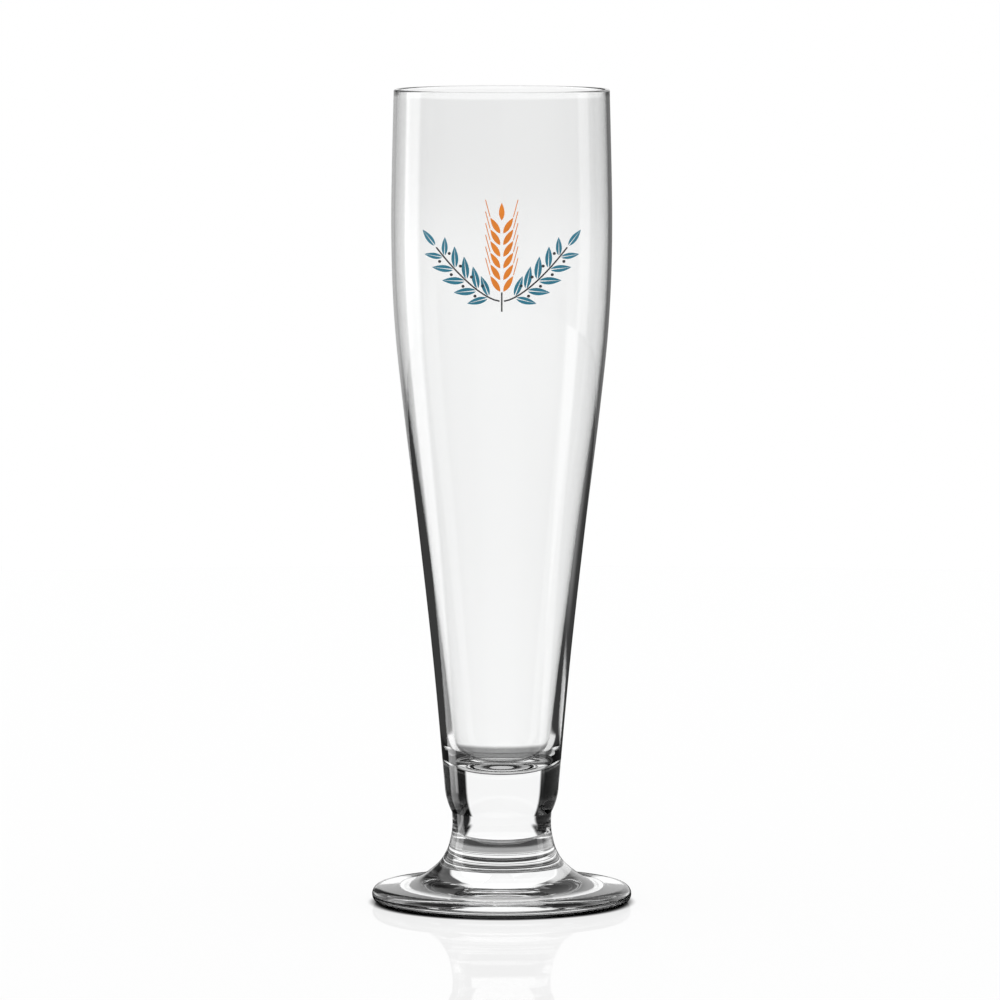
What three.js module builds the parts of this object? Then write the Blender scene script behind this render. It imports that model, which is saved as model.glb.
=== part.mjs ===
// Slender footed beer glass in clear glass: a blown bowl fused onto the column of a pressed foot.
// Millimetres, +Z up. The origin lies on the axis, in the plane that the foot stands on.
import * as THREE from 'three';

// Foot, from the table upwards. A rise is the height gained since the line above it.
const FOOT_RADIUS = 37.5;
const FOOT_EDGE = 4.9; // thickness of the round outer edge
const RING_WIDTH = 6; // flat ring that touches the table
const HOLLOW_DEPTH = 2; // shallow dish pressed into the underside
const HOLLOW_CROWN = 12; // how far the top of the dish stays level
const HOLLOW_LIP = 1; // how far its mouth runs at 45 degrees
const SKIRT_RADIUS = 25.2; // where the bell of the foot runs out into the disc
const SKIRT_RISE = 1.7;
const FLANK_RADIUS = 19.05;
const FLANK_RISE = 4;
const BELL_RADIUS = 16.1;
const BELL_RISE = 4;
const THROAT_RADIUS = 14.8;
const THROAT_RISE = 4;
const NECK_RADIUS = 14.25; // thinnest place of the column
const NECK_RISE = 3.9;
const SEAM_RADIUS = 14.4; // the fused joint between foot and bowl
const SEAM_RISE = 3.8;

// Bowl outside, from the seam upwards
const SHOULDER_RADIUS = 16.4;
const SHOULDER_RISE = 6.7;
const SHOULDER_SOFTNESS = 3.4; // length of cone that the shoulder's bend takes up
const CONE_LOW_RADIUS = 19.75;
const CONE_LOW_RISE = 37;
const CONE_MIDDLE_RADIUS = 23.85;
const CONE_MIDDLE_RISE = 37;
const CONE_HIGH_RADIUS = 28.4;
const CONE_HIGH_RISE = 37;
const TURN_RADIUS = 30.95; // where the cone turns upright
const TURN_RISE = 26;
const BELLY_RADIUS = 31.75; // widest place
const BELLY_RISE = 27;
const RIM_RADIUS = 31;
const RIM_RISE = 38;

// Bowl inside: solid glass above the seam, a round-bottomed cavity, and a wall that thins upwards
const BASE_GLASS = 11.9;
const CAVITY_ROUND = 11.8; // height of the rounded bottom
const CAVITY_RADIUS = 14.3; // at the top of the rounded bottom
const CAVITY_LEVEL = 11; // how far the floor stays level
const CAVITY_PULL = 8; // how far the rounded bottom follows the slope of the cone
const CONE_LOW_WALL = 3;
const CONE_MIDDLE_WALL = 2.2;
const CONE_HIGH_WALL = 1.3;
const TURN_WALL = 1.2;
const BELLY_WALL = 1.15;
const RIM_WALL = 1.2;

// Fineness of the facets
const SEGMENTS = 64; // around the axis
const SPAN_STEPS = 3; // between two measured places of a long curve
const BEND_STEPS = 6; // on a short curve
const SAME_POINT = 1e-6;

const CLEAR_GLASS = { color: 0xf2f6f5, roughness: 0.03, metalness: 0, transparent: true, opacity: 0.35 };

const at = (radius, height) => new THREE.Vector2(radius, height);

// Smooth line through the measured places of one side of a piece
function lineThrough(places) {
  const spans = places.length - 1;
  return new THREE.SplineCurve(places).getPoints(SPAN_STEPS * spans);
}

// Point reached from a place by going some length in the direction that leads there from another place
function goOn(from, place, length) {
  return place.clone().addScaledVector(place.clone().sub(from).normalize(), length);
}

// Half circle on the outer side of a point, from its first to its last angle
function roundEdge(centreRadius, centreHeight, radius, first, last) {
  return new THREE.EllipseCurve(centreRadius, centreHeight, radius, radius, first, last).getPoints(BEND_STEPS);
}

// Solid of revolution about the Z axis, from an outline that runs from the axis back to the axis
function turned(name, outline) {
  const corners = outline.filter((p, i) => i === 0 || p.distanceTo(outline[i - 1]) > SAME_POINT);
  const geometry = new THREE.LatheGeometry(corners, SEGMENTS).rotateX(Math.PI / 2);
  const mesh = new THREE.Mesh(geometry, new THREE.MeshStandardMaterial(CLEAR_GLASS));
  mesh.name = name;
  return mesh;
}

const skirtHeight = FOOT_EDGE + SKIRT_RISE;
const flankHeight = skirtHeight + FLANK_RISE;
const bellHeight = flankHeight + BELL_RISE;
const throatHeight = bellHeight + THROAT_RISE;
const neckHeight = throatHeight + NECK_RISE;
const seamHeight = neckHeight + SEAM_RISE;

// Foot: hollow underside, resting ring, round edge, then disc, bell and column up to the seam
function makeFoot() {
  const edgeRadius = FOOT_EDGE / 2;
  const edgeCentre = FOOT_RADIUS - edgeRadius;
  const mouthRadius = edgeCentre - RING_WIDTH;
  const hollow = new THREE.CubicBezierCurve(
    at(0, HOLLOW_DEPTH),
    at(HOLLOW_CROWN, HOLLOW_DEPTH),
    at(mouthRadius - HOLLOW_LIP, HOLLOW_LIP),
    at(mouthRadius, 0),
  ).getPoints(2 * BEND_STEPS);
  const edge = roundEdge(edgeCentre, edgeRadius, edgeRadius, -Math.PI / 2, Math.PI / 2);
  const flare = lineThrough([
    at(edgeCentre, FOOT_EDGE),
    at(SKIRT_RADIUS, skirtHeight),
    at(FLANK_RADIUS, flankHeight),
    at(BELL_RADIUS, bellHeight),
    at(THROAT_RADIUS, throatHeight),
    at(NECK_RADIUS, neckHeight),
    at(SEAM_RADIUS, seamHeight),
  ]);
  return turned('foot', [...hollow, ...edge, ...flare, at(0, seamHeight)]);
}

// Bowl: flat seam face, shoulder, cone, belly and rim outside, then down the inside to the cavity's floor
function makeBowl() {
  const shoulderHeight = seamHeight + SHOULDER_RISE;
  const coneLowHeight = shoulderHeight + CONE_LOW_RISE;
  const coneMiddleHeight = coneLowHeight + CONE_MIDDLE_RISE;
  const coneHighHeight = coneMiddleHeight + CONE_HIGH_RISE;
  const turnHeight = coneHighHeight + TURN_RISE;
  const bellyHeight = turnHeight + BELLY_RISE;
  const rimRadius = RIM_WALL / 2;
  const rimHeight = bellyHeight + RIM_RISE - rimRadius;
  const floorHeight = seamHeight + BASE_GLASS;
  const cavityHeight = floorHeight + CAVITY_ROUND;

  const seamEdge = at(SEAM_RADIUS, seamHeight);
  const shoulder = at(SHOULDER_RADIUS, shoulderHeight);
  const coneLow = at(CONE_LOW_RADIUS, coneLowHeight);
  const bend = goOn(coneLow, shoulder, SHOULDER_SOFTNESS);
  const shoulderLine = new THREE.QuadraticBezierCurve(seamEdge, bend, shoulder).getPoints(BEND_STEPS);
  const outside = lineThrough([
    shoulder,
    coneLow,
    at(CONE_MIDDLE_RADIUS, coneMiddleHeight),
    at(CONE_HIGH_RADIUS, coneHighHeight),
    at(TURN_RADIUS, turnHeight),
    at(BELLY_RADIUS, bellyHeight),
    at(RIM_RADIUS, rimHeight),
  ]);
  const rim = roundEdge(RIM_RADIUS - rimRadius, rimHeight, rimRadius, 0, Math.PI);

  const coneLowInside = at(CONE_LOW_RADIUS - CONE_LOW_WALL, coneLowHeight);
  const cavity = at(CAVITY_RADIUS, cavityHeight);
  const inside = lineThrough([
    at(RIM_RADIUS - RIM_WALL, rimHeight),
    at(BELLY_RADIUS - BELLY_WALL, bellyHeight),
    at(TURN_RADIUS - TURN_WALL, turnHeight),
    at(CONE_HIGH_RADIUS - CONE_HIGH_WALL, coneHighHeight),
    at(CONE_MIDDLE_RADIUS - CONE_MIDDLE_WALL, coneMiddleHeight),
    coneLowInside,
    cavity,
  ]);
  const cavityFloor = new THREE.CubicBezierCurve(
    cavity,
    goOn(coneLowInside, cavity, CAVITY_PULL),
    at(CAVITY_LEVEL, floorHeight),
    at(0, floorHeight),
  ).getPoints(BEND_STEPS);
  const axisStart = at(0, seamHeight);
  return turned('bowl', [axisStart, ...shoulderLine, ...outside, ...rim, ...inside, ...cavityFloor]);
}

const glass = new THREE.Group();
glass.add(makeFoot(), makeBowl());

export default glass;
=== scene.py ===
import math
import bpy
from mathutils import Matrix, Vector


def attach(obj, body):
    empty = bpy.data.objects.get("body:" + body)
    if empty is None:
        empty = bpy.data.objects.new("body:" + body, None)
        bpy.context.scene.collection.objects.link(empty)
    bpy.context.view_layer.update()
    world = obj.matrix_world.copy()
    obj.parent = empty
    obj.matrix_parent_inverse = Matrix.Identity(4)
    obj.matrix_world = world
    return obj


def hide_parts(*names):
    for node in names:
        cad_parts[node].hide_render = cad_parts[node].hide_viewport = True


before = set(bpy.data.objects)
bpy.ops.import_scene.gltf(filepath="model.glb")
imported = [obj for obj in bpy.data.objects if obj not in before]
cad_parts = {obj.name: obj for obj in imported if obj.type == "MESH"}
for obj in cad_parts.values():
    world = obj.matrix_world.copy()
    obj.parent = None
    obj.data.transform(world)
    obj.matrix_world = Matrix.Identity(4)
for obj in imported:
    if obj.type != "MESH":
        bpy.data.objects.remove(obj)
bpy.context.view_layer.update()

MM = 0.001
SAME_POINT = 1e-6
LEVEL_NORMAL = 0.99
SMOOTH_ANGLE = math.radians(35)
DEGREES = 180 / math.pi

# Radii and heights of the glass in millimetres, from the table upwards
FOOT_RADIUS = 37.5
FOOT_EDGE = 4.9
MOUTH_RADIUS = 29.05
HOLLOW_DEPTH = 2.0
HOLLOW_CROWN = 12.0
HOLLOW_LIP = 1.0
SEAM = (14.4, 26.3)
FLARE = [
    (35.05, 4.9),
    (25.2, 6.6),
    (19.05, 10.6),
    (16.1, 14.6),
    (14.8, 18.6),
    (14.25, 22.5),
    SEAM,
]
OUTSIDE = [
    (16.4, 33.0),
    (19.75, 70.0),
    (23.85, 107.0),
    (28.4, 144.0),
    (30.95, 170.0),
    (31.75, 197.0),
    (31.0, 234.4),
]
INSIDE = [
    (29.8, 234.4),
    (30.6, 197.0),
    (29.75, 170.0),
    (27.1, 144.0),
    (21.65, 107.0),
    (16.75, 70.0),
    (14.3, 50.0),
]
RIM_CENTRE = (30.4, 234.4)
RIM_ROUND = 0.6
SHOULDER_SOFTNESS = 3.4
CAVITY_FLOOR = 38.2
CAVITY_LEVEL = 11.0
CAVITY_PULL = 8.0

# Steps along the curves of the outlines and around the axis
HOLLOW_STEPS = 36
EDGE_STEPS = 24
FLARE_STEPS = 20
SHOULDER_STEPS = 16
RIM_STEPS = 16
SIDE_STEPS = 12
CAVITY_STEPS = 32
TURNS = 192


def deselect():
    if bpy.context.object and bpy.context.object.mode != 'OBJECT':
        bpy.ops.object.mode_set(mode='OBJECT')
    bpy.ops.object.select_all(action='DESELECT')


def line_through(places, steps):
    """Smooth line through the measured places of one side of a piece."""
    last = len(places) - 1
    line = []
    for k in range(last):
        a, b, c, d = (places[max(0, min(last, k + i))] for i in (-1, 0, 1, 2))
        for s in range(steps + (k == last - 1)):
            t = s / steps
            point = []
            for i in (0, 1):
                lead = (c[i] - a[i]) / 2
                leave = (d[i] - b[i]) / 2
                cube = 2 * b[i] - 2 * c[i] + lead + leave
                square = 3 * c[i] - 3 * b[i] - 2 * lead - leave
                point.append(((cube * t + square) * t + lead) * t + b[i])
            line.append(tuple(point))
    return line


def bow(corners, steps):
    """Curve from the first to the last corner, drawn towards those between."""
    line = []
    for s in range(steps + 1):
        t = s / steps
        row = list(corners)
        while len(row) > 1:
            row = [tuple(p[i] * (1 - t) + q[i] * t for i in (0, 1)) for p, q in zip(row, row[1:])]
        line.append(row[0])
    return line


def arc(centre, radius, first, last, steps):
    """Round edge from one angle to another."""
    angles = [math.radians(first + (last - first) * s / steps) for s in range(steps + 1)]
    return [(centre[0] + radius * math.cos(a), centre[1] + radius * math.sin(a)) for a in angles]


def go_on(start, place, length):
    """Place reached by going on from a place in the direction that led there."""
    reach = math.dist(start, place)
    return tuple(q + (q - p) * length / reach for p, q in zip(start, place))


def spun_piece(name, outline):
    """Draws half an outline corner by corner and spins it round the upright axis."""
    corners = [
        p for i, p in enumerate(outline)
        if i == 0 or math.dist(p, outline[i - 1]) > SAME_POINT
    ]
    places = [Vector((r * MM, 0, z * MM)) for r, z in corners]
    deselect()
    bpy.ops.mesh.primitive_plane_add(size=MM, location=(0, 0, 0))
    piece = bpy.context.object
    piece.name = name
    bpy.ops.object.mode_set(mode='EDIT')
    bpy.ops.mesh.merge(type='CENTER')
    bpy.ops.transform.translate(value=places[0])
    for here, there in zip(places, places[1:]):
        bpy.ops.mesh.extrude_vertices_move(TRANSFORM_OT_translate={"value": there - here})
    bpy.ops.mesh.select_all(action='SELECT')
    bpy.ops.mesh.spin(steps=TURNS, angle=2 * math.pi, center=(0, 0, 0), axis=(0, 0, 1))
    bpy.ops.mesh.select_all(action='SELECT')
    bpy.ops.mesh.remove_doubles(threshold=SAME_POINT)
    bpy.ops.mesh.normals_make_consistent(inside=False)
    bpy.ops.object.mode_set(mode='OBJECT')
    bpy.ops.object.shade_smooth_by_angle(angle=SMOOTH_ANGLE)
    return piece


def foot_outline():
    hollow_corners = [
        (0, HOLLOW_DEPTH),
        (HOLLOW_CROWN, HOLLOW_DEPTH),
        (MOUTH_RADIUS - HOLLOW_LIP, HOLLOW_LIP),
        (MOUTH_RADIUS, 0),
    ]
    hollow = bow(hollow_corners, HOLLOW_STEPS)
    edge_round = FOOT_EDGE / 2
    edge = arc((FOOT_RADIUS - edge_round, edge_round), edge_round, -90, 90, EDGE_STEPS)
    return hollow + edge + line_through(FLARE, FLARE_STEPS) + [(0, SEAM[1])]


def bowl_outline():
    bend = go_on(OUTSIDE[1], OUTSIDE[0], SHOULDER_SOFTNESS)
    shoulder = bow([SEAM, bend, OUTSIDE[0]], SHOULDER_STEPS)
    outside = line_through(OUTSIDE, SIDE_STEPS)
    rim = arc(RIM_CENTRE, RIM_ROUND, 0, 180, RIM_STEPS)
    inside = line_through(INSIDE, SIDE_STEPS)
    pull = go_on(INSIDE[-2], INSIDE[-1], CAVITY_PULL)
    level = (CAVITY_LEVEL, CAVITY_FLOOR)
    cavity = bow([INSIDE[-1], pull, level, (0, CAVITY_FLOOR)], CAVITY_STEPS)
    return [(0, SEAM[1])] + shoulder + outside + rim + inside + cavity


# Nodes that the materials share


def new_material(name):
    material = bpy.data.materials.new(name)
    material.use_nodes = True
    tree = material.node_tree
    return material, tree, tree.nodes["Principled BSDF"]


def math_node(tree, operation, *values):
    node = tree.nodes.new("ShaderNodeMath")
    node.operation = operation
    for socket, value in zip(node.inputs, values):
        if isinstance(value, (int, float)):
            socket.default_value = value
        else:
            tree.links.new(value, socket)
    return node.outputs[0]


def chain(tree, operation, values):
    total = values[0]
    for value in values[1:]:
        total = math_node(tree, operation, total, value)
    return total


def add_up(tree, *values):
    return chain(tree, 'ADD', values)


def times(tree, *values):
    return chain(tree, 'MULTIPLY', values)


def most(tree, *values):
    return chain(tree, 'MAXIMUM', values)


def less(tree, value, taken):
    return math_node(tree, 'SUBTRACT', value, taken)


def rest_of(tree, share):
    """What a share leaves of the whole."""
    return less(tree, 1.0, share)


def apart(tree, value, middle):
    """How far a value lies from a middle, to either side."""
    return math_node(tree, 'ABSOLUTE', less(tree, value, middle))


def exceeds(tree, value, limit):
    return math_node(tree, 'GREATER_THAN', value, limit)


def ramp(tree, value, limits, start, end):
    """Soft step from one strength to another between two limits of a value."""
    node = tree.nodes.new("ShaderNodeMapRange")
    node.interpolation_type = 'SMOOTHSTEP'
    tree.links.new(value, node.inputs["Value"])
    node.inputs["From Min"].default_value = limits[0]
    node.inputs["From Max"].default_value = limits[1]
    node.inputs["To Min"].default_value = start
    node.inputs["To Max"].default_value = end
    return node.outputs[0]


def rising(tree, value, limits, strength=1.0):
    return ramp(tree, value, limits, 0.0, strength)


def fading(tree, value, limits, strength=1.0):
    return ramp(tree, value, limits, strength, 0.0)


def span(tree, value, limits, strength=1.0):
    """Rises between the first two limits and fades between the last two."""
    return times(tree, rising(tree, value, limits[:2]), fading(tree, value, limits[2:], strength))


def coordinates(tree, kind):
    place = tree.nodes.new("ShaderNodeTexCoord")
    split = tree.nodes.new("ShaderNodeSeparateXYZ")
    tree.links.new(place.outputs[kind], split.inputs[0])
    return split.outputs


def away_from_axis(tree, x, y):
    return math_node(tree, 'SQRT', add_up(tree, times(tree, x, x), times(tree, y, y)))


# Clear glass: scales of its marks per metre, depths and heights in metres
GLASS_TINT = (0.994, 0.997, 0.996, 1)
GLASS_IOR = 1.52
WAVE_DETAIL = 1.0
MARK_DETAIL = 5.0
MARK_SCALE = 180.0
MARK_LIMITS = (0.45, 0.75)
MARK_ROUGHNESS = 0.012
BOWL_WAVE_SCALE = 30.0
BOWL_WAVE_DEPTH = 0.00002
FOOT_WAVE_SCALE = 45.0
FOOT_WAVE_DEPTH = 0.00004
# Painted shade: near-black colour of the foot glass along the lowest part of its round edge
PAINTED_FOOT_SHADE_COLOUR = (0.001, 0.001, 0.001, 1)
PAINTED_FOOT_SHADE_HEIGHT = (0.0011, 0.0016)
PAINTED_FOOT_SHADE_RADIUS = (0.0351, 0.0353)


def glass_marks_group():
    """Slow waves of blown glass and faint wiping marks."""
    group = bpy.data.node_groups.new("glass_marks", "ShaderNodeTree")
    face = group.interface
    face.new_socket("Wave Scale", in_out='INPUT', socket_type='NodeSocketFloat')
    face.new_socket("Mark Scale", in_out='INPUT', socket_type='NodeSocketFloat')
    face.new_socket("Height", in_out='OUTPUT', socket_type='NodeSocketFloat')
    face.new_socket("Marks", in_out='OUTPUT', socket_type='NodeSocketFloat')
    start = group.nodes.new("NodeGroupInput")
    end = group.nodes.new("NodeGroupOutput")
    place = group.nodes.new("ShaderNodeTexCoord")
    wave = group.nodes.new("ShaderNodeTexNoise")
    wave.inputs["Detail"].default_value = WAVE_DETAIL
    mark = group.nodes.new("ShaderNodeTexNoise")
    mark.inputs["Detail"].default_value = MARK_DETAIL
    group.links.new(place.outputs["Object"], wave.inputs["Vector"])
    group.links.new(place.outputs["Object"], mark.inputs["Vector"])
    group.links.new(start.outputs["Wave Scale"], wave.inputs["Scale"])
    group.links.new(start.outputs["Mark Scale"], mark.inputs["Scale"])
    group.links.new(wave.outputs[0], end.inputs["Height"])
    group.links.new(mark.outputs[0], end.inputs["Marks"])
    return group


glass_marks = glass_marks_group()


def painted_foot_shade_group():
    """Mask of the painted shade on the lowest part of the foot's round edge, where no light gets in."""
    group = bpy.data.node_groups.new("painted_foot_shade", "ShaderNodeTree")
    group.interface.new_socket("Mask", in_out='OUTPUT', socket_type='NodeSocketFloat')
    end = group.nodes.new("NodeGroupOutput")
    x, y, z = coordinates(group, "Object")
    low = fading(group, z, PAINTED_FOOT_SHADE_HEIGHT)
    outer = rising(group, away_from_axis(group, x, y), PAINTED_FOOT_SHADE_RADIUS)
    group.links.new(times(group, low, outer), end.inputs["Mask"])
    return group


def clear_glass(name, wave_scale, wave_depth):
    material, tree, shader = new_material(name)
    shader.inputs["Base Color"].default_value = GLASS_TINT
    shader.inputs["Transmission Weight"].default_value = 1.0
    shader.inputs["IOR"].default_value = GLASS_IOR
    marks = tree.nodes.new("ShaderNodeGroup")
    marks.node_tree = glass_marks
    marks.inputs["Wave Scale"].default_value = wave_scale
    marks.inputs["Mark Scale"].default_value = MARK_SCALE
    wiped = rising(tree, marks.outputs["Marks"], MARK_LIMITS, MARK_ROUGHNESS)
    tree.links.new(wiped, shader.inputs["Roughness"])
    bump = tree.nodes.new("ShaderNodeBump")
    bump.inputs["Strength"].default_value = 1.0
    bump.inputs["Distance"].default_value = wave_depth
    tree.links.new(marks.outputs["Height"], bump.inputs["Height"])
    tree.links.new(bump.outputs["Normal"], shader.inputs["Normal"])
    return material


def melted_seam():
    """The joint is melted through, so nothing of it is seen inside the glass."""
    material, _, shader = new_material("melted_seam")
    shader.inputs["Alpha"].default_value = 0.0
    return material


def paint_foot_shade(material):
    tree = material.node_tree
    # Painted shade: the foot glass turns near-black along the lowest part of its round edge
    line = tree.nodes.new("ShaderNodeGroup")
    line.node_tree = painted_foot_shade_group()
    tone = tree.nodes.new("ShaderNodeMix")
    tone.data_type = 'RGBA'
    tone.inputs["A"].default_value = GLASS_TINT
    tone.inputs["B"].default_value = PAINTED_FOOT_SHADE_COLOUR
    tree.links.new(line.outputs["Mask"], tone.inputs["Factor"])
    tree.links.new(tone.outputs["Result"], tree.nodes["Principled BSDF"].inputs["Base Color"])


bowl_glass = clear_glass("bowl_glass", BOWL_WAVE_SCALE, BOWL_WAVE_DEPTH)
foot_glass = clear_glass("foot_glass", FOOT_WAVE_SCALE, FOOT_WAVE_DEPTH)
paint_foot_shade(foot_glass)
seam_glass = melted_seam()


def finish_glass(piece, glass, node):
    piece.data.materials.append(glass)
    piece.data.materials.append(seam_glass)
    for face in piece.data.polygons:
        at_seam = abs(face.center.z - SEAM[1] * MM) < SAME_POINT
        face.material_index = 1 if at_seam and abs(face.normal.z) > LEVEL_NORMAL else 0
    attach(piece, "root")
    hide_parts(node)


bowl = spun_piece("glass_bowl", bowl_outline())
finish_glass(bowl, bowl_glass, "bowl")
foot = spun_piece("glass_foot", foot_outline())
finish_glass(foot, foot_glass, "foot")


# Ink of the print: scales of its grain per metre, a light and a deep tone of each colour
CLOUD_SCALE = 260.0
CLOUD_DETAIL = 4.0
CLOUD_LIMITS = (0.3, 0.7)
SPECK_SCALE = 2400.0
SPECK_LIMITS = (0.2, 0.8)
SPECK_DEPTH = 0.000005
SPECK_STRENGTH = 0.3
INK_SMOOTHEST = 0.32
INK_ROUGHEST = 0.46
TEAL = ((0.020, 0.192, 0.282), (0.016, 0.165, 0.245))
ORANGE = ((0.80, 0.225, 0.010), (0.72, 0.195, 0.008))
GREY = ((0.048, 0.048, 0.052), (0.036, 0.036, 0.040))


def ink_grain_group():
    """Faint unevenness of a screen-printed film."""
    group = bpy.data.node_groups.new("ink_grain", "ShaderNodeTree")
    face = group.interface
    face.new_socket("Tone", in_out='OUTPUT', socket_type='NodeSocketFloat')
    face.new_socket("Height", in_out='OUTPUT', socket_type='NodeSocketFloat')
    end = group.nodes.new("NodeGroupOutput")
    place = group.nodes.new("ShaderNodeTexCoord")
    cloud = group.nodes.new("ShaderNodeTexNoise")
    cloud.inputs["Scale"].default_value = CLOUD_SCALE
    cloud.inputs["Detail"].default_value = CLOUD_DETAIL
    speck = group.nodes.new("ShaderNodeTexNoise")
    speck.inputs["Scale"].default_value = SPECK_SCALE
    group.links.new(place.outputs["Object"], cloud.inputs["Vector"])
    group.links.new(place.outputs["Object"], speck.inputs["Vector"])
    group.links.new(cloud.outputs[0], end.inputs["Tone"])
    group.links.new(speck.outputs[0], end.inputs["Height"])
    return group


ink_grain = ink_grain_group()


def ink(name, light, deep):
    material, tree, shader = new_material(name)
    uneven = tree.nodes.new("ShaderNodeGroup")
    uneven.node_tree = ink_grain
    tone = tree.nodes.new("ShaderNodeMix")
    tone.data_type = 'RGBA'
    tone.inputs["A"].default_value = (*deep, 1)
    tone.inputs["B"].default_value = (*light, 1)
    tree.links.new(rising(tree, uneven.outputs["Tone"], CLOUD_LIMITS), tone.inputs["Factor"])
    tree.links.new(tone.outputs["Result"], shader.inputs["Base Color"])
    rough = ramp(tree, uneven.outputs["Height"], SPECK_LIMITS, INK_SMOOTHEST, INK_ROUGHEST)
    tree.links.new(rough, shader.inputs["Roughness"])
    bump = tree.nodes.new("ShaderNodeBump")
    bump.inputs["Strength"].default_value = SPECK_STRENGTH
    bump.inputs["Distance"].default_value = SPECK_DEPTH
    tree.links.new(uneven.outputs["Height"], bump.inputs["Height"])
    tree.links.new(bump.outputs["Normal"], shader.inputs["Normal"])
    return material


# Print on the front of the bowl: an ear of barley between two leafy branches, in millimetres and degrees
PRINT_FOOT = 177.5
FILM_GAP = 0.012
FILM_THICKNESS = 0.02
BEFORE_GLASS = -40.0

# Patterns one millimetre long
PATCH_COLUMNS = 4
LEAF_ROWS = 12
PLAIN_ROWS = 10
LEAF_VEIN = 0.025
LEAF_HALF = 0.15
GRAIN_HALF = 0.15
STROKE_HALF = 0.028
BULGE_PLACE = 0.85
BULGE_FULLNESS = 0.9

# Branches: places along them run from 0 at the foot to 1 at the tip
BRANCH_START = 0.6
BRANCH_REACH = 18.0
BRANCH_DROP = 1.5
BRANCH_RISE = 15.0
BRANCH_CURVE = 1.5
BRANCH_STROKES = 12
BRANCH_STEP = 0.01
STEM_WIDTH = 8.0
STALK_DROP = 4.5
STALK_LENGTH = 5.5
LEAF_PAIRS = ((0.16, 6.0), (0.34, 6.4), (0.52, 6.4), (0.70, 6.0), (0.87, 5.2))
TIP_LEAF = (1.0, 5.6)
LEAF_SPREAD = 42
LEAF_GAP = 0.6
BERRY_PLACES = (0.33, 0.51, 0.69, 0.87)
BERRY_SPREAD = 90
BERRY_GAP = 1.8
BERRY_SIZE = 0.9

# Ear: rows of two grains, each grain with its awn
EAR_ROWS = 6
EAR_START = 1.2
EAR_STEP = 3.3
GRAIN_OUT = 0.45
GRAIN_LEAN = 32
GRAIN_LENGTH = 5.3
TOP_GRAIN_RISE = 21.4
TOP_GRAIN_LENGTH = 5.0
AWN_OUT = 3.3
AWN_RISE = 4.7
AWN_LEAN = 15
AWN_LENGTH = 5.0
AWN_WIDTH = 4.5


def patch(name, rows, edges):
    """Upright flat patch: a grid whose rows are set to the given left and right edges."""
    deselect()
    bpy.ops.mesh.primitive_grid_add(
        x_subdivisions=PATCH_COLUMNS, y_subdivisions=rows, size=2, location=(0, 0, 0))
    piece = bpy.context.object
    piece.name = name
    bpy.ops.object.mode_set(mode='EDIT')
    bpy.ops.mesh.select_all(action='DESELECT')
    bpy.ops.object.mode_set(mode='OBJECT')
    for row in range(rows + 1):
        low, high = edges(row / rows)
        level = 2 * row / rows - 1
        for point in piece.data.vertices:
            point.select = abs(point.co.y - level) < 0.5 / rows
        bpy.ops.object.mode_set(mode='EDIT')
        bpy.ops.transform.resize(value=((high - low) / 2 * MM, 1, 1), center_override=(0, 0, 0))
        bpy.ops.transform.translate(value=((high + low) / 2 * MM, 0, 0))
        bpy.ops.mesh.select_all(action='DESELECT')
        bpy.ops.object.mode_set(mode='OBJECT')
    bpy.ops.object.mode_set(mode='EDIT')
    bpy.ops.mesh.select_all(action='SELECT')
    bpy.ops.transform.translate(value=(0, 1, 0))
    bpy.ops.transform.resize(value=(1, MM / 2, 1), center_override=(0, 0, 0))
    bpy.ops.transform.rotate(value=-math.radians(90), orient_axis='X', center_override=(0, 0, 0))
    bpy.ops.object.mode_set(mode='OBJECT')
    return piece


def stamp(pattern, x, z, lean, long, wide):
    """Copy of a pattern, stretched, leaning to the right by an angle and set down before the glass."""
    deselect()
    pattern.select_set(True)
    bpy.context.view_layer.objects.active = pattern
    bpy.ops.object.duplicate(linked=False)
    copy = bpy.context.object
    bpy.ops.object.mode_set(mode='EDIT')
    bpy.ops.mesh.select_all(action='SELECT')
    bpy.ops.transform.resize(value=(wide, 1, long), center_override=(0, 0, 0))
    bpy.ops.transform.rotate(value=-math.radians(lean), orient_axis='Y', center_override=(0, 0, 0))
    bpy.ops.transform.translate(value=(x * MM, BEFORE_GLASS * MM, z * MM))
    bpy.ops.object.mode_set(mode='OBJECT')
    return copy


def lay_on_bowl(film):
    bpy.ops.object.modifier_add(type='SHRINKWRAP')
    lay = film.modifiers[-1]
    lay.target = bowl
    lay.wrap_method = 'PROJECT'
    lay.use_project_y = True
    lay.use_positive_direction = True
    lay.use_negative_direction = False
    lay.wrap_mode = 'ABOVE_SURFACE'
    lay.offset = FILM_GAP * MM
    bpy.ops.object.modifier_apply(modifier=lay.name)


def thicken(film):
    bpy.ops.object.modifier_add(type='SOLIDIFY')
    wall = film.modifiers[-1]
    wall.thickness = FILM_THICKNESS * MM
    wall.offset = 0.0
    bpy.ops.object.modifier_apply(modifier=wall.name)


def printed(name, parts, material):
    """Joins the parts, lays them on the bowl and gives them the thickness of a film."""
    deselect()
    for part in parts:
        part.select_set(True)
    bpy.context.view_layer.objects.active = parts[0]
    bpy.ops.object.join()
    film = bpy.context.object
    film.name = name
    bpy.ops.object.mode_set(mode='EDIT')
    bpy.ops.mesh.select_all(action='SELECT')
    bpy.ops.mesh.remove_doubles(threshold=SAME_POINT)
    bpy.ops.mesh.normals_make_consistent(inside=False)
    bpy.ops.object.mode_set(mode='OBJECT')
    lay_on_bowl(film)
    thicken(film)
    bpy.ops.object.shade_smooth_by_angle(angle=SMOOTH_ANGLE)
    film.data.materials.clear()
    film.data.materials.append(material)
    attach(film, "root")


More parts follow.
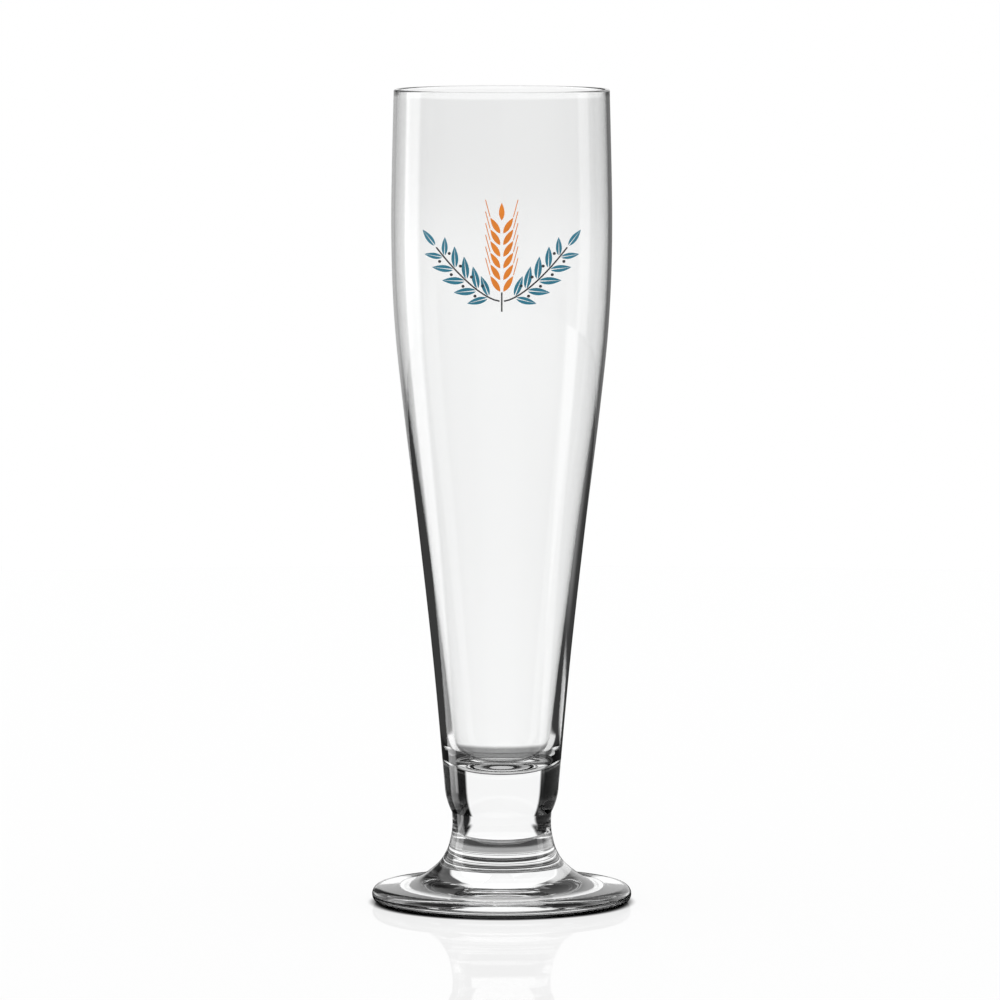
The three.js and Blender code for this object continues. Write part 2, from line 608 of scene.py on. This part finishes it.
def branch_place(s):
    """Place along the right branch, from its foot to its tip."""
    x = BRANCH_START + BRANCH_REACH * s
    return x, PRINT_FOOT - BRANCH_DROP + BRANCH_RISE * max(s, 0) ** BRANCH_CURVE


def lean_between(start, end):
    return math.degrees(math.atan2(end[0] - start[0], end[1] - start[1]))


def branch_lean(s):
    return lean_between(branch_place(s - BRANCH_STEP), branch_place(s + BRANCH_STEP))


def beside(s, lean, length):
    """Place off the branch in a leaning direction."""
    x, z = branch_place(s)
    return x + length * math.sin(math.radians(lean)), z + length * math.cos(math.radians(lean))


def bulge(t):
    return max(0.0, math.sin(math.pi * t ** BULGE_PLACE)) ** BULGE_FULLNESS


def half_leaf_edges(t):
    vein = LEAF_VEIN * (1 - t)
    return vein, vein + LEAF_HALF * bulge(t)


def grain_edges(t):
    return -GRAIN_HALF * bulge(t), GRAIN_HALF * bulge(t)


def stroke_edges(t):
    return -STROKE_HALF, STROKE_HALF


def dot_edges(t):
    half = math.sqrt(max(0, t - t * t))
    return -half, half


half_leaf = patch("half_leaf", LEAF_ROWS, half_leaf_edges)
grain = patch("grain", PLAIN_ROWS, grain_edges)
stroke = patch("stroke", PLAIN_ROWS, stroke_edges)
dot = patch("dot", PLAIN_ROWS, dot_edges)


def branch_leaves(side):
    rows = [(s, length, lean) for s, length in LEAF_PAIRS for lean in (-LEAF_SPREAD, LEAF_SPREAD)]
    made = []
    for s, length, spread in rows + [(*TIP_LEAF, 0)]:
        lean = branch_lean(s) + spread
        x, z = beside(s, lean, LEAF_GAP)
        for half in (-1, 1):
            made.append(stamp(half_leaf, side * x, z, side * lean, length, half * length))
    return made


def branch_stem(side):
    """Berries on both sides of the branch, then the branch itself in short strokes."""
    made = []
    for s in BERRY_PLACES:
        for spread in (-BERRY_SPREAD, BERRY_SPREAD):
            x, z = beside(s, branch_lean(s) + spread, BERRY_GAP)
            made.append(stamp(dot, side * x, z - BERRY_SIZE / 2, 0, BERRY_SIZE, BERRY_SIZE))
    for k in range(BRANCH_STROKES):
        start = branch_place(k / BRANCH_STROKES)
        end = branch_place((k + 1) / BRANCH_STROKES)
        lean = side * lean_between(start, end)
        length = math.dist(start, end)
        made.append(stamp(stroke, side * start[0], start[1], lean, length, STEM_WIDTH))
    return made


def half_ear(side):
    made = []
    for k in range(EAR_ROWS):
        z = PRINT_FOOT + EAR_START + EAR_STEP * k
        lean = side * GRAIN_LEAN
        made.append(stamp(grain, side * GRAIN_OUT, z, lean, GRAIN_LENGTH, GRAIN_LENGTH))
        lean = side * AWN_LEAN
        made.append(stamp(stroke, side * AWN_OUT, z + AWN_RISE, lean, AWN_LENGTH, AWN_WIDTH))
    return made


leaves = []
grains = []
stems = []
for side in (-1, 1):
    leaves += branch_leaves(side)
    stems += branch_stem(side)
    grains += half_ear(side)
grains.append(stamp(grain, 0, PRINT_FOOT + TOP_GRAIN_RISE, 0, TOP_GRAIN_LENGTH, GRAIN_LENGTH))
stems.append(stamp(stroke, 0, PRINT_FOOT - STALK_DROP, 0, STALK_LENGTH, STEM_WIDTH))
for pattern in (half_leaf, grain, stroke, dot):
    bpy.data.objects.remove(pattern)

printed("print_leaves", leaves, ink("teal_ink", *TEAL))
printed("print_grains", grains, ink("orange_ink", *ORANGE))
printed("print_stems", stems, ink("grey_ink", *GREY))


# Camera
CAMERA_PLACE = (-0.0005, -2.150, 0.308)
CAMERA_DROP = 5.085
CAMERA_LENS = 269.7
SENSOR_WIDTH = 36.0

deselect()
bpy.ops.object.camera_add(
    location=CAMERA_PLACE, rotation=(math.radians(90 - CAMERA_DROP), 0, 0))
camera = bpy.context.object
camera.data.lens = CAMERA_LENS
camera.data.sensor_width = SENSOR_WIDTH
camera.data.dof.use_dof = False
bpy.context.scene.camera = camera


# Studio: pale floor and white surroundings, with two painted strips of light in place of lamps, and painted
# light and shade for rays mirrored off or passed through the glass

# Two limits say where something begins and is full, or where it starts to fade and is gone. Four say both.
# A TURN is in degrees from the far side of the glass, to the right positive, and a SIDE the same either way.
# A RISE is in degrees above the horizon. A REACH is in metres from the glass's axis, on the floor.

# Painted strips of light, seen only in what surfaces mirror
LEFT_STRIP_TURN = (-87.0, -79.0, -61.0, -55.0)
LEFT_STRIP_LIGHT = 2.9
RIGHT_STRIP_HALF = (5.0, 11.0)
RIGHT_STRIP_LIGHT = 1.4
FRONT_LIGHT = 0.06

# Painted faint light line in the painted dark right flank of solid glass
STREAK_TURN = 41.0
STREAK_HALF = (1.5, 3.0)
STREAK_LIGHT = 0.18

# Surfaces that light has passed on its way through the glass
FLOOR_SOLID_DEPTH = 2
WORLD_SOLID_DEPTH = 3
CAVITY_DEPTH = 1.5
DEEP = 3.5
DEEP_LOSS = 0.8
INK_DEPTH = 4.5


def direction_from_back(tree, x, y):
    """Degrees from the far side of the glass, to the right positive."""
    return times(tree, math_node(tree, 'ARCTAN2', x, y), DEGREES)


def ray_kinds(tree, solid_depth):
    """Light that comes straight, off a surface, through solid glass, inside a wall and through the cavity."""
    path = tree.nodes.new("ShaderNodeLightPath").outputs
    scattered = exceeds(tree, path["Diffuse Depth"], 0.5)
    off_ink = times(tree, scattered, exceeds(tree, path["Transmission Depth"], INK_DEPTH))
    through = times(tree, path["Is Transmission Ray"], rest_of(tree, off_ink))
    bare = rest_of(tree, through)
    mirrored = times(tree, path["Is Glossy Ray"], bare)
    plain = less(tree, bare, mirrored)
    further = less(tree, path["Ray Depth"], solid_depth)
    odd = math_node(tree, 'FLOORED_MODULO', further, 2.0)
    wall = times(tree, through, odd)
    cavity = times(tree, through, rest_of(tree, odd), exceeds(tree, further, CAVITY_DEPTH))
    solid = less(tree, less(tree, through, wall), cavity)
    lasting = rest_of(tree, times(tree, exceeds(tree, further, DEEP), DEEP_LOSS))
    return plain, mirrored, solid, times(tree, wall, lasting), times(tree, cavity, lasting)


def painted_strips(tree, turn, right_turn):
    """Painted strips of light: a bright one on the left, a fainter one on the right, little else."""
    left = span(tree, turn, LEFT_STRIP_TURN, LEFT_STRIP_LIGHT)
    right = fading(tree, apart(tree, turn, right_turn), RIGHT_STRIP_HALF, RIGHT_STRIP_LIGHT)
    return add_up(tree, left, right, FRONT_LIGHT)


# Painted light line, seen only through the glass
def painted_light_line(tree, turn):
    return fading(tree, apart(tree, turn, STREAK_TURN), STREAK_HALF, STREAK_LIGHT)


# Floor
FLOOR_RADIUS = 1.0
FLOOR_CORNERS = 96
FLOOR_DROP = 0.02
FLOOR_COLOUR = (0.9, 0.9, 0.9, 1)
FLOOR_ROUGHNESS = 0.015
FLOOR_WHITE = 0.75
# Painted contact shadow: the floor's white glow is black under the foot and full just past its edge
PAINTED_CONTACT_SHADOW_REACH = (0.0362, 0.0392)

# Painted shadow on the floor seen through the foot, from the axis outwards
UNDER_CENTRE_REACH = (0.0085, 0.0105)
UNDER_CENTRE_LIGHT = 0.6
UNDER_RING_LIGHT = 0.02
UNDER_BELL_REACH = (0.0145, 0.0185)
UNDER_BELL_LIGHT = 0.31
UNDER_DISC_REACH = (0.024, 0.030)
UNDER_DISC_LIGHT = 0.67

# Painted shade on the floor seen inside the walls, and where it is paler
WALL_DARK = 0.96
WALL_REACH = (0.024, 0.042)
SOFT_TURN = (22.0, 44.0)
SOFT_REACH = (0.3, 0.5)
SOFT_LOSS = 0.22
AHEAD_SIDE = (15.0, 25.0)
AHEAD_REACH = (0.07, 0.09)
AHEAD_LOSS = 0.6
BACK_SIDE = (140.0, 160.0)
BACK_LOSS = 0.4
BESIDE_SIDE = (34.0, 42.0, 62.0, 70.0)
BESIDE_REACH = (0.045, 0.055, 0.165, 0.205)
BESIDE_LOSS = 0.88

# Painted shade on the floor seen through solid glass
SOLID_DARK = 0.995
RIGHT_DARK_TURN = (26.0, 30.0, 100.0, 110.0)
LEFT_DARK_TURN = (-56.0, -50.0)
FRONT_DARK_TURN = (160.0, 170.0)
FAR_DARK_TURN = (-33.0, -28.0)
FAR_DARK_REACH = (0.09, 0.11)
NEAR_DARK_SIDE = (22.5, 27.0)
NEAR_DARK_REACH = (0.10, 0.20)
PAST_FOOT_REACH = (0.038, 0.044)
STEEP_LIMITS = (-0.0035, -0.0024)
STEEP_REACH = (0.25, 0.35)

# Painted shade on the floor seen through the cavity: dark edges of the cavity, and the grey of its bottom
EDGE_DARK = 0.96
EDGE_LEFT_TURN = (-78.0, -68.0, -62.0, -36.0)
EDGE_RIGHT_TURN = (22.0, 52.0)
EDGE_REACH = (0.08, 0.12)
EDGE_STRENGTH = 0.9
BOTTOM_REACH = (0.065, 0.108)
BOTTOM_LOSS = -0.7
BOTTOM_GAIN = 0.07
DISTANT_REACH = (0.35, 1.0)
DISTANT_LOSS = -0.02
DISC_REACH = (0.036, 0.043)
DISC_LOSS = -0.2
DISC_FLANK_SIDE = (50.0, 60.0)
DISC_FLANK_REACH = (0.038, 0.043)

# Painted strips of light and a painted glint on the floor, seen only in reflections
FLOOR_STRIP_TURN = 98.0
STRIP_REACH = (0.04, 0.10)
NEAR_STRIP_REACH = (0.13, 0.19)
NEAR_STRIP_SHARE = 0.6
NEAR_RIGHT_TURN = (60.0, 75.0)
NEAR_RIGHT_LOSS = 0.85
GLINT_TURN = (32.0, 37.0, 50.0, 56.0)
GLINT_REACH = (0.26, 0.30, 0.36, 0.42)
GLINT_LIGHT = 3.0


# Painted shadow under the foot
def painted_shadow_under_foot(tree, away):
    centre = ramp(tree, away, UNDER_CENTRE_REACH, UNDER_CENTRE_LIGHT, UNDER_RING_LIGHT)
    bell = rising(tree, away, UNDER_BELL_REACH, UNDER_BELL_LIGHT)
    return add_up(tree, centre, bell, rising(tree, away, UNDER_DISC_REACH, UNDER_DISC_LIGHT))


# Painted shade on the floor for rays that passed inside a wall
def painted_shade_through_walls(tree, turn, side, away):
    soft = times(tree, rising(tree, turn, SOFT_TURN, SOFT_LOSS), rising(tree, away, SOFT_REACH))
    ahead = times(tree, fading(tree, side, AHEAD_SIDE, AHEAD_LOSS), fading(tree, away, AHEAD_REACH))
    back = rising(tree, side, BACK_SIDE, BACK_LOSS)
    flank = times(tree, span(tree, side, BESIDE_SIDE, BESIDE_LOSS), span(tree, away, BESIDE_REACH))
    full = rest_of(tree, most(tree, soft, ahead, back, flank))
    return times(tree, rising(tree, away, WALL_REACH), full, WALL_DARK)


# Painted shade on the floor for rays that passed through solid glass
def painted_shade_through_solid_glass(tree, turn, side, away):
    right = span(tree, turn, RIGHT_DARK_TURN)
    left = most(tree, fading(tree, turn, LEFT_DARK_TURN), rising(tree, turn, FRONT_DARK_TURN))
    far = times(tree, fading(tree, turn, FAR_DARK_TURN), rising(tree, away, FAR_DARK_REACH))
    near = times(tree, rising(tree, side, NEAR_DARK_SIDE), fading(tree, away, NEAR_DARK_REACH))
    length = tree.nodes.new("ShaderNodeLightPath").outputs["Ray Length"]
    steep = rising(tree, less(tree, length, away), STEEP_LIMITS)
    not_steep = rest_of(tree, times(tree, steep, rising(tree, away, STEEP_REACH)))
    reach = times(tree, rising(tree, away, PAST_FOOT_REACH), not_steep)
    beside_line = rest_of(tree, painted_light_line(tree, turn))
    return times(tree, most(tree, right, left, far, near), reach, beside_line, SOLID_DARK)


# Painted shade on the floor at the edges of the cavity
def painted_shade_at_cavity_edge(tree, turn, away):
    right = rising(tree, turn, EDGE_RIGHT_TURN)
    edge = most(tree, right, span(tree, turn, EDGE_LEFT_TURN))
    outer = rising(tree, away, PAST_FOOT_REACH)
    return times(tree, edge, outer, fading(tree, away, EDGE_REACH, EDGE_STRENGTH), EDGE_DARK)


def painted_shade_through_cavity(tree, side, away):
    """Painted shade and light: how much lighter or darker the floor is through the cavity."""
    bottom = ramp(tree, away, BOTTOM_REACH, BOTTOM_LOSS, BOTTOM_GAIN)
    distant = rising(tree, away, DISTANT_REACH, DISTANT_LOSS)
    lift = add_up(tree, bottom, distant, fading(tree, away, DISC_REACH, DISC_LOSS))
    flank = times(tree, rising(tree, side, DISC_FLANK_SIDE), fading(tree, away, DISC_FLANK_REACH))
    return times(tree, lift, rest_of(tree, flank))


# Painted strips of light and a painted glint on the floor, for mirrored rays
def painted_lights_on_floor_in_reflection(tree, turn, away):
    near = ramp(tree, away, NEAR_STRIP_REACH, NEAR_STRIP_SHARE, 1.0)
    near_loss = fading(tree, away, NEAR_STRIP_REACH, NEAR_RIGHT_LOSS)
    right = rest_of(tree, times(tree, rising(tree, turn, NEAR_RIGHT_TURN), near_loss))
    begun = rising(tree, away, STRIP_REACH)
    lights = times(tree, painted_strips(tree, turn, FLOOR_STRIP_TURN), near, right, begun)
    glint = times(tree, span(tree, turn, GLINT_TURN), span(tree, away, GLINT_REACH, GLINT_LIGHT))
    return add_up(tree, lights, glint)


# Pale floor that also glows with painted light and shade for rays mirrored off or passed through the glass
def floor_with_painted_light_and_shade():
    material, tree, shader = new_material("pale_floor_with_painted_light_and_shade")
    nodes = tree.nodes
    links = tree.links
    shader.inputs["Base Color"].default_value = FLOOR_COLOUR
    shader.inputs["Roughness"].default_value = FLOOR_ROUGHNESS
    plain, mirrored, solid, wall, cavity = ray_kinds(tree, FLOOR_SOLID_DEPTH)
    x, y, _ = coordinates(tree, "Object")
    turn = direction_from_back(tree, x, y)
    side = math_node(tree, 'ABSOLUTE', turn)
    away = away_from_axis(tree, x, y)

    # Painted light and shade: what the floor shows to rays through the glass and to mirrored rays
    wall_dark = times(tree, wall, painted_shade_through_walls(tree, turn, side, away))
    solid_dark = times(tree, solid, painted_shade_through_solid_glass(tree, turn, side, away))
    edge_dark = times(tree, cavity, painted_shade_at_cavity_edge(tree, turn, away))
    bright = rest_of(tree, add_up(tree, wall_dark, solid_dark, edge_dark))
    tone = add_up(tree, 1.0, times(tree, cavity, painted_shade_through_cavity(tree, side, away)))
    seen_through = times(tree, painted_shadow_under_foot(tree, away), tone, bright)
    through = times(tree, add_up(tree, solid, wall, cavity), seen_through)
    reflected = times(tree, mirrored, painted_lights_on_floor_in_reflection(tree, turn, away))

    glow = nodes.new("ShaderNodeEmission")
    links.new(add_up(tree, through, reflected), glow.inputs["Strength"])
    # Painted contact shadow around the foot, in the white glow the camera sees
    white = nodes.new("ShaderNodeEmission")
    links.new(rising(tree, away, PAINTED_CONTACT_SHADOW_REACH), white.inputs["Strength"])
    seen = nodes.new("ShaderNodeMixShader")
    seen.inputs[0].default_value = FLOOR_WHITE
    links.new(shader.outputs[0], seen.inputs[1])
    links.new(white.outputs[0], seen.inputs[2])
    mix = nodes.new("ShaderNodeMixShader")
    links.new(plain, mix.inputs[0])
    links.new(glow.outputs[0], mix.inputs[1])
    links.new(seen.outputs[0], mix.inputs[2])
    links.new(mix.outputs[0], nodes["Material Output"].inputs["Surface"])
    return material


deselect()
bpy.ops.mesh.primitive_circle_add(
    vertices=FLOOR_CORNERS, radius=FLOOR_RADIUS, fill_type='NGON', location=(0, 0, -FLOOR_DROP * MM))
floor = bpy.context.object
floor.name = "studio_floor"
floor.data.materials.append(floor_with_painted_light_and_shade())


# Painted light and shade of the surroundings seen through solid glass: a lit panel behind, dark to both
# sides, dim in front, light from above
OVERHEAD_RISE = (30.0, 45.0)
OVERHEAD_LIGHT = 1.1
PANEL_TURN = (-33.0, -30.0, 26.5, 29.5)
FLANK_SIDE = 90.0
FLANK_HALF = (9.0, 13.0)
FLANK_LIGHT = 0.8
STREAK_RISE = (2.0, 4.0)
FRONT_SIDE = (105.0, 125.0)
FRONT_VIEW_LIGHT = 0.25
BELOW_RISE = (-13.0, -10.0)

# Painted light and shade seen inside the walls: dark below, paler on the left than on the right, a painted
# patch of light on the left
ABOVE_RISE = (-1.0, 2.0)
ACROSS_TURN = (-15.0, 15.0)
WALL_LEFT_LIGHT = 0.4
WALL_RIGHT_LIGHT = 0.12
WALL_LOW_RISE = (-10.0, -4.0)
WALL_LOW_SHARE = 0.1
PAINTED_PATCH_TURN = (-66.0, -60.0, -33.0, -29.0)
PAINTED_PATCH_RISE = (1.0, 3.0, 20.0, 32.0)
PAINTED_PATCH_LIGHT = 0.75

# Through the cavity: white all round, and higher up the same painted light and shade as through solid glass
HIGH_RISE = (3.0, 8.0)
LOW_RISE = (-3.6, -2.0)
LOW_LIGHT = 1.05
HORIZON_LIGHT = 0.92

# Painted reflections: the painted strips, fainter painted light beside them, the panel behind and the light
# from above
WORLD_STRIP_TURN = 83.0
LEFT_FILL_TURN = (-70.0, -60.0, -34.0, -28.0)
LEFT_FILL_LIGHT = 0.9
RIGHT_FILL_TURN = (28.0, 34.0, 56.0, 66.0)
RIGHT_FILL_LIGHT = 0.6
BEHIND_SIDE = (26.0, 34.0)
BEHIND_LEFT_LIGHT = 0.6
BEHIND_RIGHT_LIGHT = 0.2
SKY_RISE = (17.0, 25.0)
SKY_HIGH_LIGHT = 0.4
SHADE_TURN = (-80.0, -70.0, -15.0, -9.0)
SHADE_RISE = (35.0, 50.0)
SHADE_LOSS = 0.95


# Painted light and shade seen through solid glass
def view_through_solid_glass(tree, turn, side, rise):
    panel = span(tree, turn, PANEL_TURN)
    flank = fading(tree, apart(tree, side, FLANK_SIDE), FLANK_HALF, FLANK_LIGHT)
    streak = times(tree, painted_light_line(tree, turn), fading(tree, rise, STREAK_RISE))
    front = rising(tree, side, FRONT_SIDE, FRONT_VIEW_LIGHT)
    ring = most(tree, panel, flank, streak, front, fading(tree, rise, BELOW_RISE))
    overhead = rising(tree, rise, OVERHEAD_RISE)
    level = times(tree, ring, rest_of(tree, overhead))
    return add_up(tree, level, times(tree, overhead, OVERHEAD_LIGHT))


def view_inside_walls(tree, turn, rise, above, solid_view):
    across = ramp(tree, turn, ACROSS_TURN, WALL_LEFT_LIGHT, WALL_RIGHT_LIGHT)
    below = times(tree, across, ramp(tree, rise, WALL_LOW_RISE, WALL_LOW_SHARE, 1.0))
    # Painted patch of light, seen only inside the walls
    painted_patch = times(tree, span(tree, turn, PAINTED_PATCH_TURN), span(tree, rise, PAINTED_PATCH_RISE, PAINTED_PATCH_LIGHT))
    below = times(tree, below, rest_of(tree, above))
    return add_up(tree, below, times(tree, above, solid_view), painted_patch)


def view_through_cavity(tree, rise, solid_view):
    high = rising(tree, rise, HIGH_RISE)
    low = times(tree, rest_of(tree, high), ramp(tree, rise, LOW_RISE, LOW_LIGHT, HORIZON_LIGHT))
    return add_up(tree, low, times(tree, high, solid_view))


def view_in_reflection(tree, turn, side, rise, above):
    across = ramp(tree, turn, ACROSS_TURN, BEHIND_LEFT_LIGHT, BEHIND_RIGHT_LIGHT)
    panel = times(tree, fading(tree, side, BEHIND_SIDE), across, rest_of(tree, above))
    shaded = times(tree, span(tree, turn, SHADE_TURN), fading(tree, rise, SHADE_RISE, SHADE_LOSS))
    sky = times(tree, above, ramp(tree, rise, SKY_RISE, 1.0, SKY_HIGH_LIGHT), rest_of(tree, shaded))
    left_fill = span(tree, turn, LEFT_FILL_TURN, LEFT_FILL_LIGHT)
    right_fill = span(tree, turn, RIGHT_FILL_TURN, RIGHT_FILL_LIGHT)
    lights = add_up(tree, painted_strips(tree, turn, WORLD_STRIP_TURN), left_fill, right_fill)
    return add_up(tree, lights, most(tree, panel, sky))


# Surroundings white for plain rays, with painted light and shade for rays mirrored off or passed through the
# glass
def surroundings_with_painted_light():
    world = bpy.data.worlds.new("surroundings_with_painted_light")
    world.use_nodes = True
    tree = world.node_tree
    plain, mirrored, solid, wall, cavity = ray_kinds(tree, WORLD_SOLID_DEPTH)
    x, y, z = coordinates(tree, "Generated")
    turn = direction_from_back(tree, x, y)
    side = math_node(tree, 'ABSOLUTE', turn)
    rise = times(tree, math_node(tree, 'ARCSINE', z), DEGREES)
    above = rising(tree, rise, ABOVE_RISE)

    solid_view = view_through_solid_glass(tree, turn, side, rise)
    views = [
        times(tree, mirrored, view_in_reflection(tree, turn, side, rise, above)),
        times(tree, solid, solid_view),
        times(tree, wall, view_inside_walls(tree, turn, rise, above, solid_view)),
        times(tree, cavity, view_through_cavity(tree, rise, solid_view)),
    ]
    background = tree.nodes["Background"]
    tree.links.new(add_up(tree, plain, *views), background.inputs["Strength"])
    background.inputs["Color"].default_value = (1, 1, 1, 1)
    bpy.context.scene.world = world


surroundings_with_painted_light()

bpy.context.scene.view_settings.view_transform = 'Standard'
